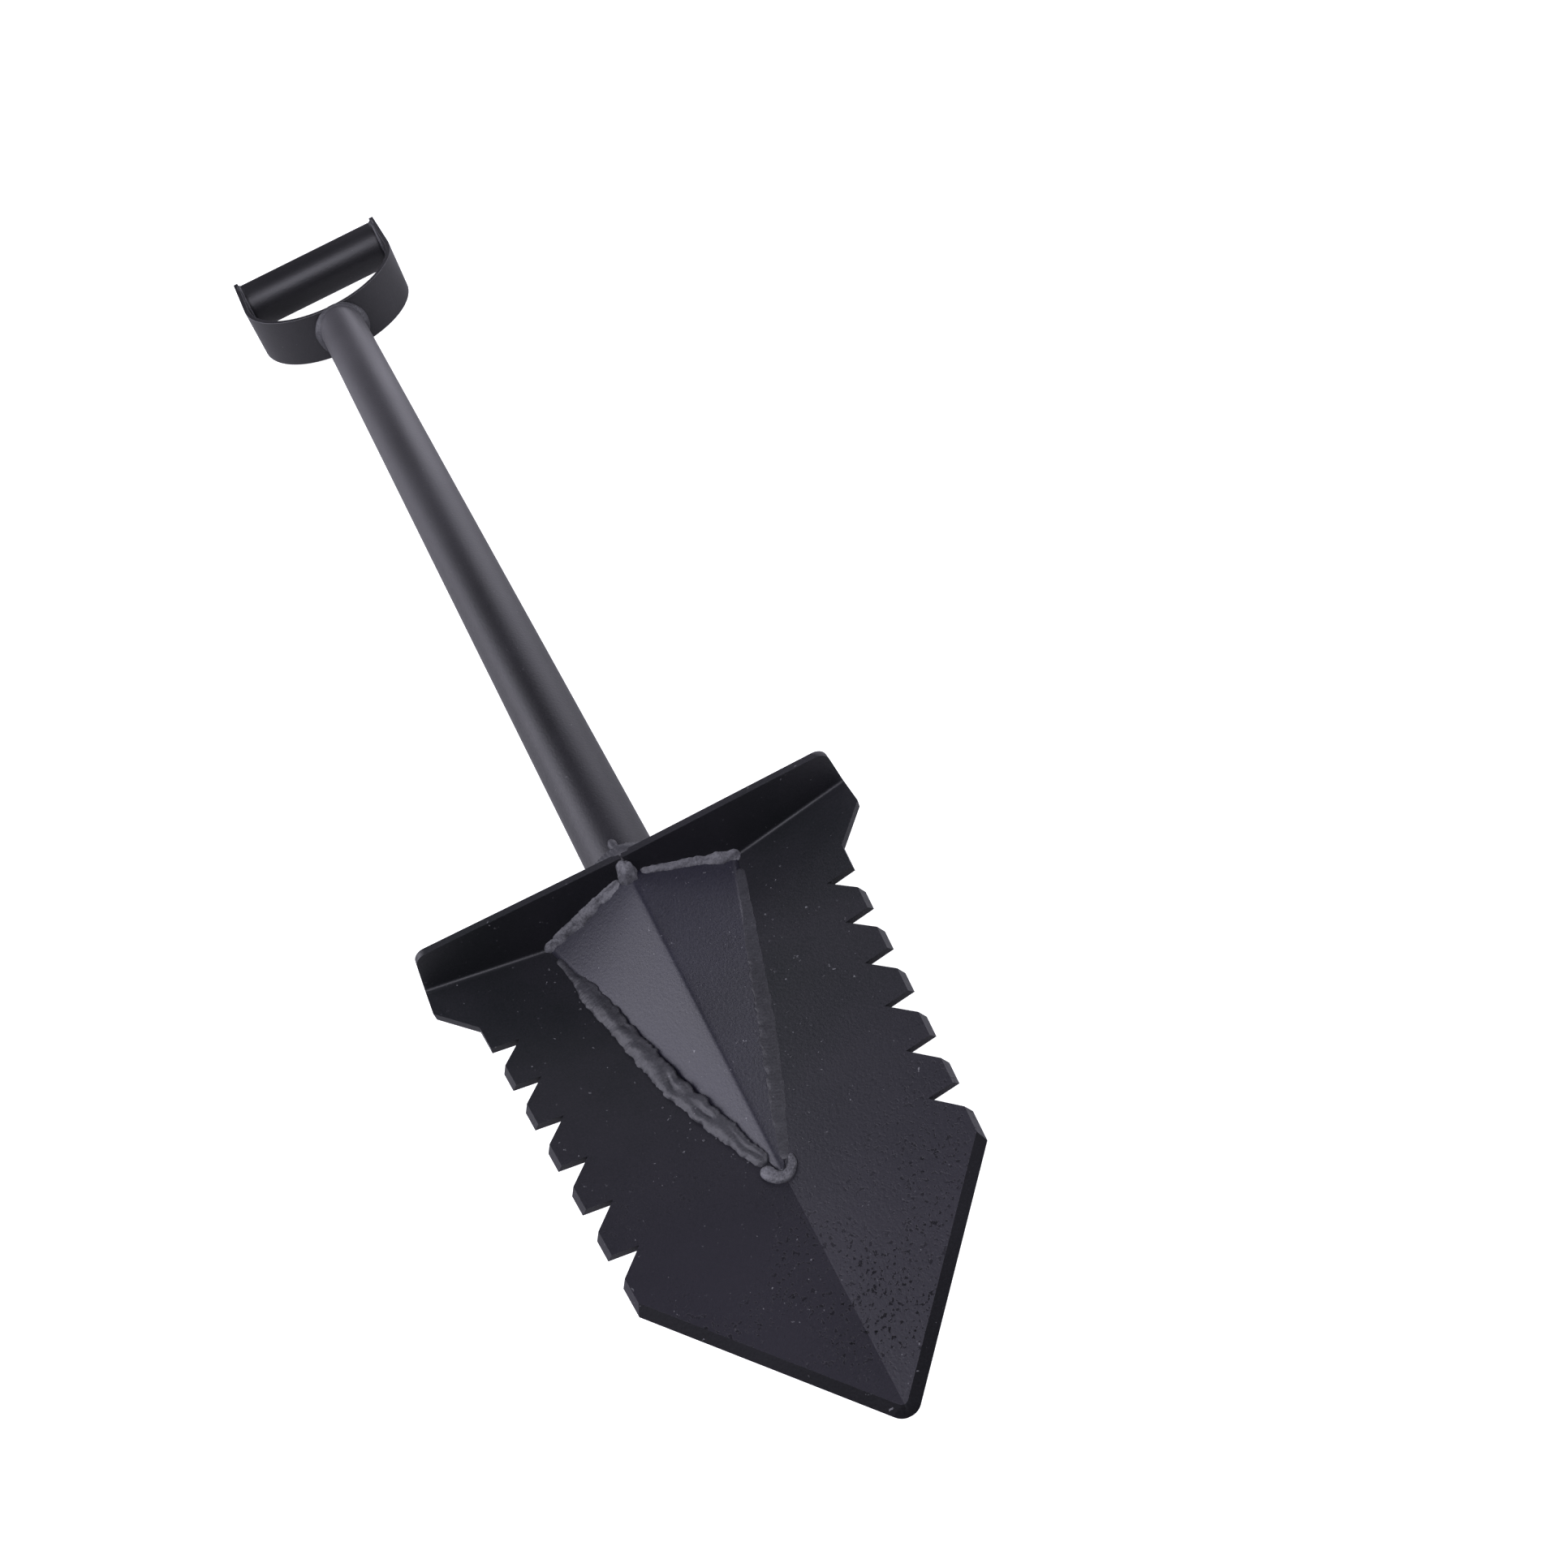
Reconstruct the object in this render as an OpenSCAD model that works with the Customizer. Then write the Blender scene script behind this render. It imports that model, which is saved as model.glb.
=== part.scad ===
// All-steel detecting shovel with a serrated V-folded blade, folded foot rests,
// a folded gusset, a round tube shaft and a welded D-handle.
// It lies on its back: +X across, +Y along the shaft to the handle, +Z out of the blade's front face.

/* [Blade] */
// Thickness of the blade plate
plate_t = 3.4; // [3:0.1:5]
// Angle that each blade half is raised from flat, in degrees
fold_angle = 12.5; // [8:0.5:14]
// Distance from the foot rest's underside to the blade's point, before the point is rounded
blade_len = 249; // [240:1:280]
// Radius of the rounded point
point_r = 6; // [3:1:10]
// Distance from the shaft's axis back to the blade's front face, along the centre fold
setback = 20; // [18:0.5:24]

/* [Teeth] */
// Number of notches down each side
notch_count = 6; // [3:1:6]
// Distance from one notch to the next
notch_pitch = 22; // [20:0.5:23]
// Depth of a notch, square to the shaft
notch_depth = 12.4; // [6:0.2:14]
// Height of a notch's mouth
notch_h = 12.4; // [8:0.2:14]
// Distance from the foot rest's underside to the first notch's ledge
first_ledge = 42; // [38:1:48]
// Half width of the blade plate at the first ledge
ledge_half_w = 85; // [78:0.5:92]
// Taper of the toothed sides, in degrees
side_taper = 6.4; // [4:0.1:8]

/* [Foot rest] */
// Width across both foot rests
rest_w = 200; // [190:1:220]
// Distance from the shaft's axis forward to the foot rest's front edge
rest_front = 20.5; // [19:0.5:26]
// How much further forward the foot rest's front edge is at its outer ends
rest_rise = 1.5; // [0:0.1:3]
// Radius of the foot rest's outer front corners
rest_corner_r = 6; // [4:1:12]
// Outside radius of the bend between blade and foot rest
bend_r = 6; // [5:0.5:8]
// Height of the wide ears below the foot rest, at their outer ends
ear_h = 14.8; // [10:0.2:20]
// Distance from the foot rest's underside to the ears' inner corners
ear_root = 29.3; // [25:0.1:34]
// Gap between the two foot rest flaps
rest_gap = 1; // [0.5:0.1:2]

/* [Shaft] */
// Outside diameter of the shaft tube
shaft_od = 32; // [28:1:34]
// Wall of the shaft tube
shaft_wall = 2; // [1.5:0.5:3]
// Length of the shaft tube
shaft_len = 601.5; // [400:0.5:700]

/* [D-handle] */
// Width of the flat bar that the yoke is bent from
yoke_w = 31.6; // [30:0.2:40]
// Thickness of the yoke's flat bar
yoke_t = 3; // [3:0.5:4]
// Outside radius of the yoke's bend
yoke_r = 57.5; // [52:0.5:66]
// Distance from the yoke's lowest outer point to the grip's axis
grip_rise = 99; // [90:1:120]
// Outside diameter of the grip tube
grip_od = 31; // [26:1:32]
// Wall of the grip tube
grip_wall = 2; // [1.5:0.5:3]
// Radius of the rounded corners at the yoke's ends
yoke_corner_r = 10; // [6:1:14]
// Distance that the yoke's ends reach past the grip
yoke_past = 1; // [0.5:0.1:2]

/* [Gusset] */
// Thickness of the gusset plate
gusset_t = 3; // [2:0.5:4]
// Half width of the gusset under the foot rest
gusset_half_w = 46; // [36:1:52]
// Distance that the gusset reaches down the blade
gusset_len = 148; // [120:1:170]
// Distance from the shaft's axis forward to the top of the gusset's ridge
gusset_front = 11; // [6:0.5:13]

/* [Welds] */
// Radius of the beads down the gusset's sides
side_bead_r = 4.5; // [3:0.5:5]
// Radius of the beads under the foot rest
top_bead_r = 4; // [3:0.5:5]
// Radius of the weld blob on top of the gusset's ridge
ridge_blob_r = 7; // [5:0.5:8]
// Radius of the weld nose at the gusset's point
nose_r = 7; // [5:0.5:8]
// Leg of the weld round the shaft's foot
foot_leg = 3; // [2:0.5:3]
// Leg of the weld between shaft and yoke
head_leg = 4; // [3:0.5:5]
// Leg of the welds round the grip's ends
grip_leg = 2.5; // [2:0.5:3]

/* [Hidden] */
$fn = 48;
big = 400;
// The teeth's outer line, and the yoke's and blade's ends along the shaft
function side_at(down) = ledge_half_w - (down - first_ledge) * tan(side_taper);
last_ledge = first_ledge + (notch_count - 1) * notch_pitch;
// The last tooth is a little higher than the notch above it
last_tooth_extra = 0.4;
shoulder = last_ledge + 2 * notch_h + last_tooth_extra;
shaft_top = plate_t + shaft_len;
yoke_y = shaft_top + yoke_r;
grip_y = shaft_top + grip_rise;
top_y = grip_y + grip_od / 2 + yoke_past;
yoke_in = yoke_r - yoke_t;
// The blade's half angle at its point, and how far rounding shortens the point
point_slope = atan((blade_len - shoulder) / side_at(shoulder));
point_cut = point_r * (1 / cos(point_slope) - 1);
tip_y = -(blade_len - point_cut);
mid_y = (top_y + tip_y) / 2;
lift = setback + plate_t / cos(fold_angle);
// Height of the blade's front face at a distance x from the centre
function face_z(x) = -setback + x * tan(fold_angle);
// The gusset's three corners on one side: nose, ridge top and outer corner
g_nose = [0, -gusset_len, -setback];
g_ridge = [0, 0, gusset_front];
g_corner = [gusset_half_w, 0, face_z(gusset_half_w)];
function unit(v) = v / norm(v);
g_u = unit(g_ridge - g_nose);
g_n = unit(cross(g_corner - g_nose, g_ridge - g_nose));
g_v = cross(g_n, g_u);
// Where each bead starts and ends, as fractions of the way along the edge that it follows
side_bead_from = 0.12;
side_bead_to = 0.93;
top_bead_from = 0.24;
top_bead_to = 0.98;
// How far out and up the shoulder of a ring weld's section is, as fractions of its leg
ring_out = 0.75;
ring_up = 0.7;

// Puts a piece where the shovel lies on its back, centred along its length
module place() {
    translate([0, -mid_y, lift]) children();
}

// One piece and its mirror image across the shovel's middle
module both_sides() {
    children();
    mirror([1, 0, 0]) children();
}

// Tilts a piece with the right half of the blade, whose front face is then at z = 0
module on_half() {
    translate([0, 0, -setback]) rotate([0, -fold_angle, 0]) children();
}

// Everything behind the right blade half's front face
module behind_half() {
    on_half() translate([-big, -big, -big]) cube([2 * big, 2 * big, big]);
}

// Everything above the foot rest's underside
module above_rest() {
    translate([-big, 0, -big]) cube([2 * big, big, 2 * big]);
}

// The right half of the blade's outline, with its ear, teeth and point
module half_outline() {
    ear_s = rest_w / 2 / cos(fold_angle) + plate_t;
    polygon(concat(
        [[-plate_t, 0], [ear_s, 0], [ear_s, -ear_h], [side_at(ear_root), -ear_root]],
        [for (i = [0 : notch_count - 1], corner = [0 : 2])
            let (down = first_ledge + i * notch_pitch)
            corner == 0 ? [side_at(down), -down] :
            corner == 1 ? [side_at(down) - notch_depth, -down] :
            [side_at(down + notch_h), -(down + notch_h)]],
        [[side_at(shoulder), -shoulder],
         [point_r * sin(point_slope), tip_y + point_r * (1 - cos(point_slope))],
         [0, tip_y + point_r * (1 - cos(point_slope))], [-plate_t, tip_y + point_r]]
    ));
    translate([0, tip_y + point_r]) circle(r = point_r);
}

// The right foot rest flap, seen from its end along the shaft. Its outer end is square to the bend.
module flap_outline() {
    half_w = rest_w / 2;
    lean = tan(fold_angle);
    foot = face_z(half_w);
    back_z = (half_w * lean - lift + foot * lean * lean) * cos(fold_angle) * cos(fold_angle);
    back_x = half_w - (back_z - foot) * lean;
    front_z = rest_front + rest_rise;
    corner = [half_w - (front_z - foot) * lean, front_z];
    inner = [rest_gap / 2, rest_front];
    in = unit(inner - corner);
    down = unit([back_x, back_z] - corner);
    half_turn = acos(in * down) / 2;
    reach = rest_corner_r / tan(half_turn);
    centre = corner + unit(in + down) * rest_corner_r / sin(half_turn);
    polygon([
        [rest_gap / 2, rest_gap / 2 * lean - lift], [back_x, back_z],
        corner + down * reach, centre, corner + in * reach, inner
    ]);
    translate(centre) circle(r = rest_corner_r);
}

// One half of the blade with its foot rest flap bent forward
module blade_half() {
    intersection() {
        difference() {
            union() {
                on_half() translate([0, 0, -plate_t]) linear_extrude(plate_t) half_outline();
                translate([0, plate_t, 0]) rotate([90, 0, 0]) linear_extrude(plate_t) flap_outline();
            }
            // The bend's outside is round
            on_half() translate([-big / 2, plate_t - bend_r, bend_r - plate_t]) difference() {
                translate([0, 0, -2 * bend_r]) cube([big, 2 * bend_r, 2 * bend_r]);
                rotate([0, 90, 0]) cylinder(r = bend_r, h = big);
            }
        }
        translate([0, -big, -big]) cube([rest_w / 2, 2 * big, 2 * big]);
    }
}

// One plate, cut to shape, folded down its middle and bent forward at the foot rests
module blade() {
    color("#2b2b31") place() both_sides() blade_half();
}

// The outer and inner surfaces of one gusset facet, before trimming
module facet_slab(inner, outer) {
    multmatrix([
        [g_u[0], g_v[0], g_n[0], g_nose[0]],
        [g_u[1], g_v[1], g_n[1], g_nose[1]],
        [g_u[2], g_v[2], g_n[2], g_nose[2]],
        [0, 0, 0, 1]
    ])
    translate([-big / 2, -big / 2, inner]) cube([2 * big, big, outer - inner]);
}

// One half of the gusset, trimmed to the blade, the foot rest and the middle
module gusset_half() {
    difference() {
        intersection() {
            facet_slab(-gusset_t, 0);
            translate([0, -gusset_len, -setback - 1])
                cube([gusset_half_w, gusset_len, setback + gusset_front + 1]);
        }
        behind_half();
    }
}

// Triangular plate, folded along its ridge, that braces the foot rests to the blade
module gusset() {
    color("#3a3b44") place() both_sides() gusset_half();
}

// Round tube from the foot rests to the yoke
module shaft() {
    color("#313136") place() translate([0, plate_t, 0]) rotate([-90, 0, 0]) difference() {
        cylinder(d = shaft_od, h = shaft_len);
        translate([0, 0, -1]) cylinder(d = shaft_od - 2 * shaft_wall, h = shaft_len + 2);
    }
}

// Outline of the yoke, seen from the side: flat bar with rounded corners at its end
module yoke_side() {
    start = shaft_top - 1;
    square_len = top_y - start - yoke_corner_r;
    translate([0, start]) {
        translate([-yoke_w / 2, 0]) square([yoke_w, square_len]);
        translate([yoke_corner_r - yoke_w / 2, 0]) square([yoke_w - 2 * yoke_corner_r, top_y - start]);
        for (side = [-1, 1])
            translate([side * (yoke_w / 2 - yoke_corner_r), square_len]) circle(r = yoke_corner_r);
    }
}

// Keeps only what lies between the rims and the end of the yoke's bar
module in_bar_width() {
    intersection() {
        children();
        rotate([0, -90, 0]) translate([0, 0, -big / 2]) linear_extrude(big) yoke_side();
    }
}

// Flat bar bent to a U, its ends rounded over the grip
module yoke() {
    leg = top_y - yoke_y;
    color("#2e2e33") place() in_bar_width() translate([0, 0, -yoke_w / 2]) {
        difference() {
            translate([0, yoke_y, 0]) cylinder(r = yoke_r, h = yoke_w);
            translate([0, yoke_y, -1]) cylinder(r = yoke_in, h = yoke_w + 2);
            translate([-big / 2, yoke_y, -1]) cube([big, big, yoke_w + 2]);
        }
        for (x = [-yoke_r, yoke_in])
            translate([x, yoke_y, 0]) cube([yoke_t, leg, yoke_w]);
    }
}

// Round tube held between the yoke's legs
module grip() {
    color("#29292e") place() translate([-yoke_in, grip_y, 0]) rotate([0, 90, 0]) difference() {
        cylinder(d = grip_od, h = 2 * yoke_in);
        translate([0, 0, -1]) cylinder(d = grip_od - 2 * grip_wall, h = 2 * yoke_in + 2);
    }
}

// Weld that fills the seam between the two foot rest flaps, from the bend to the front edge
module foot_rest_seam_weld() {
    back_z = bend_r - lift;
    color("#3c3c42") place() translate([-rest_gap / 2, 0, back_z])
        cube([rest_gap, plate_t, rest_front - back_z]);
}

// Section of a weld that fills the corner outside a tube of the given radius
module ring_section(r, leg) {
    polygon([[r, 0], [r + leg, 0], [r + ring_out * leg, ring_up * leg], [r, leg]]);
}

// Weld ring round the shaft's foot
module shaft_foot_weld() {
    color("#45454b") place() translate([0, plate_t, 0]) rotate([-90, 0, 0])
        rotate_extrude() ring_section(shaft_od / 2, foot_leg);
}

// Weld ring round the shaft's head, reaching up to the yoke's bend
module shaft_head_weld() {
    color("#38383d") place() difference() {
        translate([0, shaft_top - head_leg, 0]) rotate([-90, 0, 0])
            cylinder(d = shaft_od + 2 * head_leg, h = 2 * head_leg);
        translate([0, shaft_top - big / 2, 0]) rotate([-90, 0, 0]) cylinder(d = shaft_od, h = big);
        translate([0, yoke_y, -big / 2]) cylinder(r = yoke_r, h = big);
    }
}

// Round bar between two points
module bar(from, to, r) {
    reach = to - from;
    tilt = acos(reach[2] / norm(reach));
    turn = atan2(reach[1], reach[0]);
    translate(from) rotate([0, tilt, turn]) cylinder(r = r, h = norm(reach));
}

// Removes what lies inside the gusset, behind the blade's face or above the foot rest's underside
module in_corner() {
    difference() {
        children();
        facet_slab(-big, 0);
        behind_half();
        above_rest();
    }
}

// Bead down one side of the gusset, from below its outer corner to above its nose
module side_weld() {
    start = g_corner + (g_nose - g_corner) * side_bead_from;
    end = g_corner + (g_nose - g_corner) * side_bead_to;
    in_corner() bar(start, end, side_bead_r);
}

// Bead under the foot rest, from beside the ridge to the gusset's outer corner
module top_weld() {
    start = g_ridge + (g_corner - g_ridge) * top_bead_from;
    end = g_ridge + (g_corner - g_ridge) * top_bead_to;
    in_corner() bar(start, end, top_bead_r);
}

module gusset_side_weld_right() {
    color("#46464d") place() side_weld();
}

module gusset_side_weld_left() {
    color("#4a4a52") place() mirror([1, 0, 0]) side_weld();
}

module gusset_top_weld_right() {
    color("#46464d") place() top_weld();
}

module gusset_top_weld_left() {
    color("#4a4a52") place() mirror([1, 0, 0]) top_weld();
}

// Blob of weld where the ridge meets the foot rest's underside
module ridge_weld() {
    color("#55555d") place() both_sides() intersection() {
        in_corner() translate([0, -1, gusset_front - 1]) sphere(r = ridge_blob_r);
        translate([0, -big / 2, -big / 2]) cube(big);
    }
}

// Rounded nose of weld at the gusset's point
module gusset_nose_weld() {
    color("#45454c") place() both_sides() intersection() {
        in_corner() translate([0, -gusset_len - 1, -setback]) sphere(r = nose_r);
        translate([0, -big, -big / 2]) cube(big);
    }
}

// Weld ring round one end of the grip, against a yoke leg, dressed flush with the bar's rims and end
module grip_weld() {
    in_bar_width() translate([yoke_in, grip_y, 0]) rotate([0, -90, 0])
        rotate_extrude() ring_section(grip_od / 2, grip_leg);
}

module grip_weld_right() {
    color("#323237") place() grip_weld();
}

module grip_weld_left() {
    color("#323237") place() mirror([1, 0, 0]) grip_weld();
}

blade();
gusset();
shaft();
yoke();
grip();
foot_rest_seam_weld();
shaft_foot_weld();
shaft_head_weld();
gusset_side_weld_left();
gusset_side_weld_right();
gusset_top_weld_left();
gusset_top_weld_right();
ridge_weld();
gusset_nose_weld();
grip_weld_left();
grip_weld_right();
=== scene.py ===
# A black all-steel digging shovel: a folded, serrated blade with foot rests, a gusset, a tube shaft
# and a D-handle, all welded into one. It lies on its back on a pale floor.
# Lengths are in metres: +X across the blade, +Y along the shaft to the handle, +Z up.

import math
import random

import bmesh
import bpy
from mathutils import Matrix, Vector, noise


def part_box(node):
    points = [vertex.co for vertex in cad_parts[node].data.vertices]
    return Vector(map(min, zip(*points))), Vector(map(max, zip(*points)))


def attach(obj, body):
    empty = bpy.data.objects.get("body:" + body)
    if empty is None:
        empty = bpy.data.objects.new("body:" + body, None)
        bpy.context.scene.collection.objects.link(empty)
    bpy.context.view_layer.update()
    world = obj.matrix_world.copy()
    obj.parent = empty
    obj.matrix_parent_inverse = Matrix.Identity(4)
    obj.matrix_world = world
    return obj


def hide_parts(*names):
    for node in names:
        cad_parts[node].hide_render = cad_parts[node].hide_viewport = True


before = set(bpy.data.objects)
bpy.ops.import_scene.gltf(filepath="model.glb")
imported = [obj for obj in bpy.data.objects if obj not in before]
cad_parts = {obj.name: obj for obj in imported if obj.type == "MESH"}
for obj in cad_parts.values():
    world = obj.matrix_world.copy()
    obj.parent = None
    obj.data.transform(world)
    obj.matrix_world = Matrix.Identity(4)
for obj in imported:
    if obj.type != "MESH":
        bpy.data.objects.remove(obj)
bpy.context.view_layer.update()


# ---------------------------------------------------------------------------------------------
# Blade
# One 3.4 mm steel plate, cut to outline with ears, six notches a side and a blunt point. It is
# folded down its middle, its two top flaps are bent forward as foot rests, and its tooth ends
# and the two edges of its point are ground to a slope. Satin black powder coat, pitted low down.

mm = 0.001
fold = math.radians(12.5)
notch_count = 6
notch_pitch = 22 * mm
notch_depth = 12.4 * mm
notch_h = 12.4 * mm
first_ledge = 42 * mm
ledge_half_w = 85 * mm
side_taper = math.radians(6.4)
shoulder = 177.2 * mm
blade_len = 249 * mm
point_r = 6 * mm
ear_h = 14.8 * mm
ear_root = 29.3 * mm
bend_r = 6 * mm
inner_bend_r = 1.5 * mm
rest_corner_r = 6 * mm
rest_rise = 1.5 * mm
seam_half = 0.5 * mm
tooth_slope = 1.7 * mm
point_grind = 3.4 * mm
arris = 0.4 * mm
ground_material = 2
arc_steps = 8

seam_low, seam_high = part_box("foot_rest_seam_weld")
shaft_low, shaft_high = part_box("shaft")
blade_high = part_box("blade")[1]
rest_y = seam_low.y
plate = seam_high.y - seam_low.y
axis_z = (shaft_low.z + shaft_high.z) / 2
rest_half_w = blade_high.x
rest_front_z = seam_high.z
fold_z = plate / math.cos(fold)
bend_inset = bend_r - plate


def on_half(s, y, n):
    """A point s out from the fold, y along from the foot rests' underside and n off the front face."""
    x = s * math.cos(fold) - n * math.sin(fold)
    z = fold_z + s * math.sin(fold) + n * math.cos(fold)
    return Vector((x, rest_y + y, z))


def s_at(x, n):
    """How far out along a blade half the plane at x is met, n off its front face."""
    return (x + n * math.sin(fold)) / math.cos(fold)


def side_at(down):
    """Half width of the plate at a distance down from the foot rests."""
    return ledge_half_w - (down - first_ledge) * math.tan(side_taper)


def back_outline():
    """Corners of half the plate's back, each with how far in the front's edge after it lies."""
    lean = plate * math.tan(fold)
    corners = [(-lean, -bend_inset, 0), (s_at(rest_half_w, -plate), -bend_inset, -lean)]
    corners.append((s_at(rest_half_w, -plate), -ear_h, 0))
    corners.append((side_at(ear_root), -ear_root, 0))
    for i in range(notch_count):
        down = first_ledge + i * notch_pitch
        corners.append((side_at(down), -down, 0))
        corners.append((side_at(down) - notch_depth, -down, 0))
        corners.append((side_at(down + notch_h), -down - notch_h, tooth_slope))
    corners.append((side_at(shoulder), -shoulder, point_grind))
    slope = math.atan((blade_len - shoulder) / side_at(shoulder))
    centre_y = -blade_len + point_r / math.cos(slope)
    last = math.asin(-lean / point_r)
    for i in range(arc_steps + 1):
        turn = slope + (last - slope) * i / arc_steps
        inset = lean if i == arc_steps else point_grind
        corners.append((point_r * math.sin(turn), centre_y - point_r * math.cos(turn), inset))
    return corners


def front_outline(corners):
    """The back's corners moved in to the front's edges."""
    lines = []
    for i, (s, y, inset) in enumerate(corners):
        next_s, next_y, _ = corners[(i + 1) % len(corners)]
        along = Vector((next_s - s, next_y - y)).normalized()
        inward = Vector((along.y, -along.x))
        lines.append((Vector((s, y)) + inward * inset, along))
    moved = []
    for i, (start, along) in enumerate(lines):
        before, before_along = lines[i - 1]
        cross = before_along.x * along.y - before_along.y * along.x
        gap = start - before
        reach = (gap.x * along.y - gap.y * along.x) / cross
        moved.append(before + before_along * reach)
    return moved


def rest_corner():
    """Points, as (x, z), round a foot rest's outer front corner; its end is square to the bend."""
    foot_z = fold_z + rest_half_w * math.tan(fold)
    front_z = rest_front_z + rest_rise
    corner = Vector((rest_half_w - (front_z - foot_z) * math.tan(fold), front_z))
    inward = (Vector((seam_half, rest_front_z)) - corner).normalized()
    down = Vector((math.sin(fold), -math.cos(fold)))
    half_turn = inward.angle(down) / 2
    centre = corner + (inward + down).normalized() * rest_corner_r / math.sin(half_turn)
    last = math.atan2(-inward.x, inward.y)
    turns = [fold + (last - fold) * i / arc_steps for i in range(arc_steps + 1)]
    return [(centre.x + rest_corner_r * math.cos(a), centre.y + rest_corner_r * math.sin(a)) for a in turns]


def bend_profile(centre_y, centre_n, r, first, last):
    """Points round part of a bend, as (y, n)."""
    turns = [first + (last - first) * i / arc_steps for i in range(arc_steps + 1)]
    return [(centre_y + r * math.sin(a), centre_n - r * math.cos(a)) for a in turns]


def blade_mesh():
    """Both halves of the folded plate with their foot rests, as one closed skin."""
    skin = bmesh.new()
    back = back_outline()
    front = front_outline(back)
    right = math.pi / 2
    inside = [(-bend_inset, 0)] + bend_profile(-inner_bend_r, inner_bend_r, inner_bend_r, 0, right)
    inside.append((0, bend_inset))
    outside = bend_profile(-bend_inset, bend_inset, bend_r, 0, right)
    for side in (1, -1):
        def point(p):
            return skin.verts.new((side * p.x, p.y, p.z))

        def ends(y, n):
            return [point(on_half(s, y, n)) for s in (s_at(seam_half, n), s_at(rest_half_w, min(n, 0)))]

        front_ring = [point(on_half(p.x, p.y, 0)) for p in front]
        back_ring = [point(on_half(s, y, -plate)) for s, y, _ in back]
        front_step = point(on_half(s_at(seam_half, 0), -bend_inset, 0))
        back_step = point(on_half(s_at(seam_half, -plate), -bend_inset, -plate))
        skin.faces.new([front_ring[0], front_step] + front_ring[1:])
        skin.faces.new([back_ring[0], back_step] + back_ring[1:])
        skin.faces.new([front_ring[0], front_step, back_step, back_ring[0]])
        for i in range(1, len(back) - 1):
            edge = skin.faces.new([front_ring[i], front_ring[i + 1], back_ring[i + 1], back_ring[i]])
            edge.material_index = ground_material if back[i][2] == point_grind else 0
            edge.smooth = i >= len(back) - 1 - arc_steps
        inner = [ends(y, n) for y, n in inside]
        outer = [ends(y, n) for y, n in outside]
        for run in (inner, outer):
            for a, b in zip(run, run[1:]):
                skin.faces.new([a[0], a[1], b[1], b[0]]).smooth = True
        for end in (0, 1):
            skin.faces.new([pair[end] for pair in inner] + [pair[end] for pair in reversed(outer)])
        rims = []
        for y in (0, plate):
            rim = ends(y, bend_inset)
            rim += [point(Vector((x, rest_y + y, z))) for x, z in rest_corner()]
            rim.append(point(Vector((seam_half, rest_y + y, rest_front_z))))
            skin.faces.new(rim)
            rims.append(rim)
        for i in range(1, len(rims[0])):
            j = (i + 1) % len(rims[0])
            edge = skin.faces.new([rims[0][i], rims[0][j], rims[1][j], rims[1][i]])
            edge.smooth = 2 <= i < 2 + arc_steps
    bmesh.ops.remove_doubles(skin, verts=skin.verts, dist=1e-6)
    bmesh.ops.recalc_face_normals(skin, faces=skin.faces)
    return skin


def add_piece(name, skin, *materials):
    """Turns a finished skin into an object with these materials."""
    mesh = bpy.data.meshes.new(name)
    skin.to_mesh(mesh)
    skin.free()
    for material in materials:
        mesh.materials.append(material)
    piece = bpy.data.objects.new(name, mesh)
    bpy.context.scene.collection.objects.link(piece)
    return piece


def break_edges(piece, width, segments=2):
    """Rounds a piece's sharp edges and gives them its second material, which paints a highlight along them.
    """
    bevel = piece.modifiers.new("arrises", "BEVEL")
    bevel.width = width
    bevel.segments = segments
    bevel.limit_method = "ANGLE"
    bevel.angle_limit = math.radians(30)
    bevel.use_clamp_overlap = True
    bevel.material = 1


class Wire:
    """A shader socket that can be used in sums, each of which adds a Math node."""

    def __init__(self, tree, socket=None):
        self.tree = tree
        self.socket = socket

    def node(self, kind, settings=None, sockets=None, out=0):
        """Adds a node: its settings first, then the values or links of its sockets."""
        made = self.tree.nodes.new("ShaderNode" + kind)
        for name, value in (settings or {}).items():
            setattr(made, name, value)
        for name, value in (sockets or {}).items():
            if isinstance(value, Wire):
                self.tree.links.new(value.socket, made.inputs[name])
            else:
                made.inputs[name].default_value = value
        return Wire(self.tree, made.outputs[out] if made.outputs else None)

    def sum(self, operation, first, second):
        return self.node("Math", {"operation": operation}, {0: first, 1: second})

    def __add__(self, other):
        return self.sum("ADD", self, other)

    def __sub__(self, other):
        return self.sum("SUBTRACT", self, other)

    def __rsub__(self, other):
        return self.sum("SUBTRACT", other, self)

    def __mul__(self, other):
        return self.sum("MULTIPLY", self, other)

    __radd__ = __add__
    __rmul__ = __mul__

    def rise(self, low, high):
        """0 below low, 1 above high and smooth between; the other way round when high is less."""
        return self.node(
            "MapRange",
            {"interpolation_type": "SMOOTHSTEP"},
            {"Value": self, "From Min": low, "From Max": high},
        )

    def blend(self, colour, other):
        """colour where this mask is 0, other where it is 1."""
        return self.node("Mix", {"data_type": "RGBA"}, {0: self, 6: colour, 7: other}, out=2)


def rgba(r, g, b):
    return (r, g, b, 1)


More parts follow.
